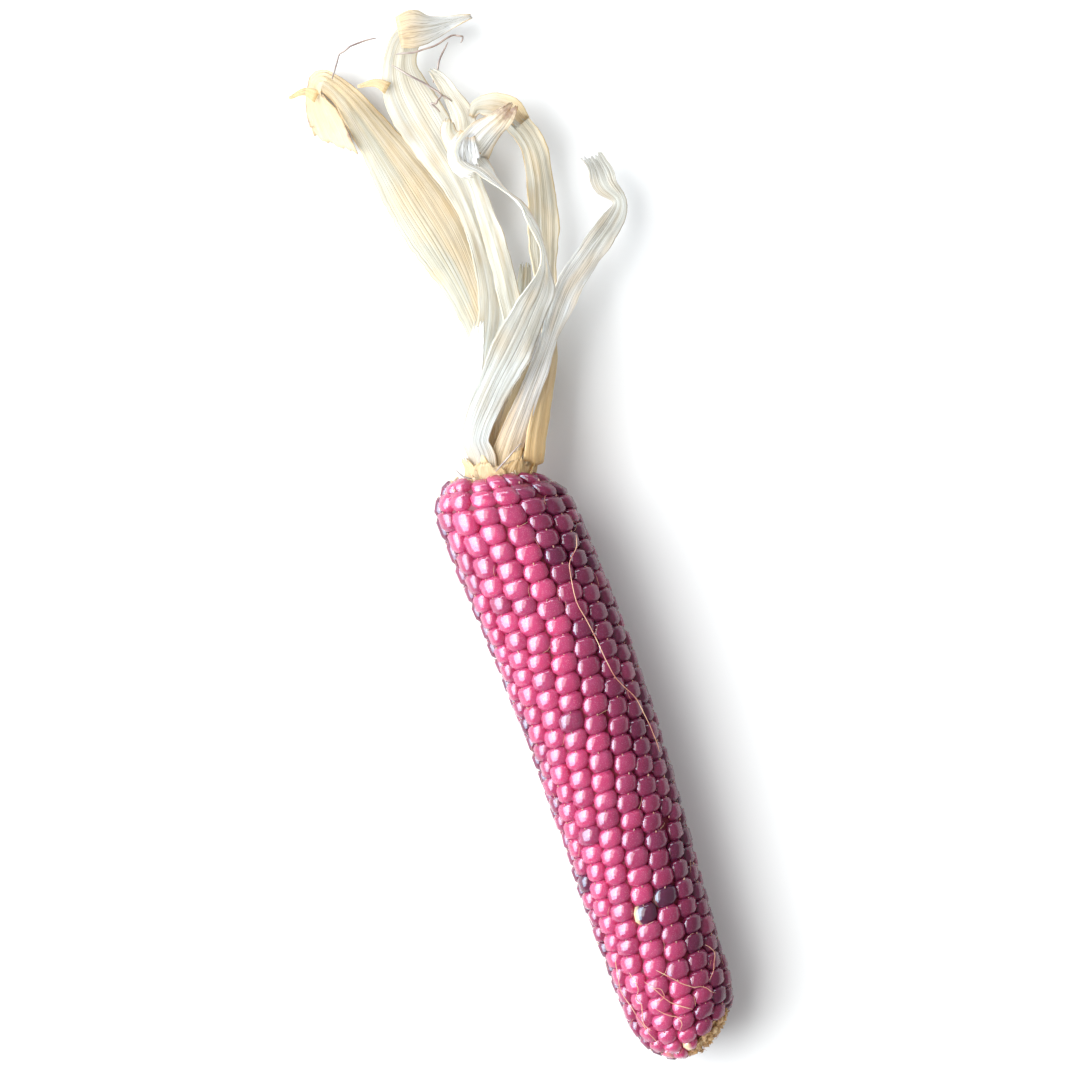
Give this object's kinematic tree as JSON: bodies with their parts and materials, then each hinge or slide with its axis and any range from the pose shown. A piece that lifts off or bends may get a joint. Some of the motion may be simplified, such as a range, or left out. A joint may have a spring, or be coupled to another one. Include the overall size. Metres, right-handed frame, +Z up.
{
  "type": "dried corn cob",
  "caption": "Dried ear of red corn lying on its side, with glossy kernels in rows round a woody cob and papery husk leaves pulled back from the butt.",
  "frame": {"origin": "on the flattened kernel that the ear rests on, under the middle of the kernelled length", "axes": "+X along the ear from its tip to its butt and husk, +Z up from the surface it lies on, +Y to the side that completes a right-handed frame"},
  "size_m": [0.2915, 0.0788, 0.0373],
  "materials": {
    "kernels": "glossy",
    "cob": "matte",
    "husk_pale": "matte",
    "husk_cream": "matte",
    "husk_tan": "matte"
  },
  "bodies": {
    "root": {"kernels": "kernels", "cob": "cob", "husk_leaf_front": "husk_pale", "husk_leaf_outer": "husk_pale", "husk_leaf_short": "husk_pale", "husk_leaf_long": "husk_cream", "husk_leaf_narrow": "husk_cream", "husk_leaf_left": "husk_tan", "husk_leaf_right": "husk_tan", "husk_leaf_under": "husk_tan"}
  },
  "joints": []
}
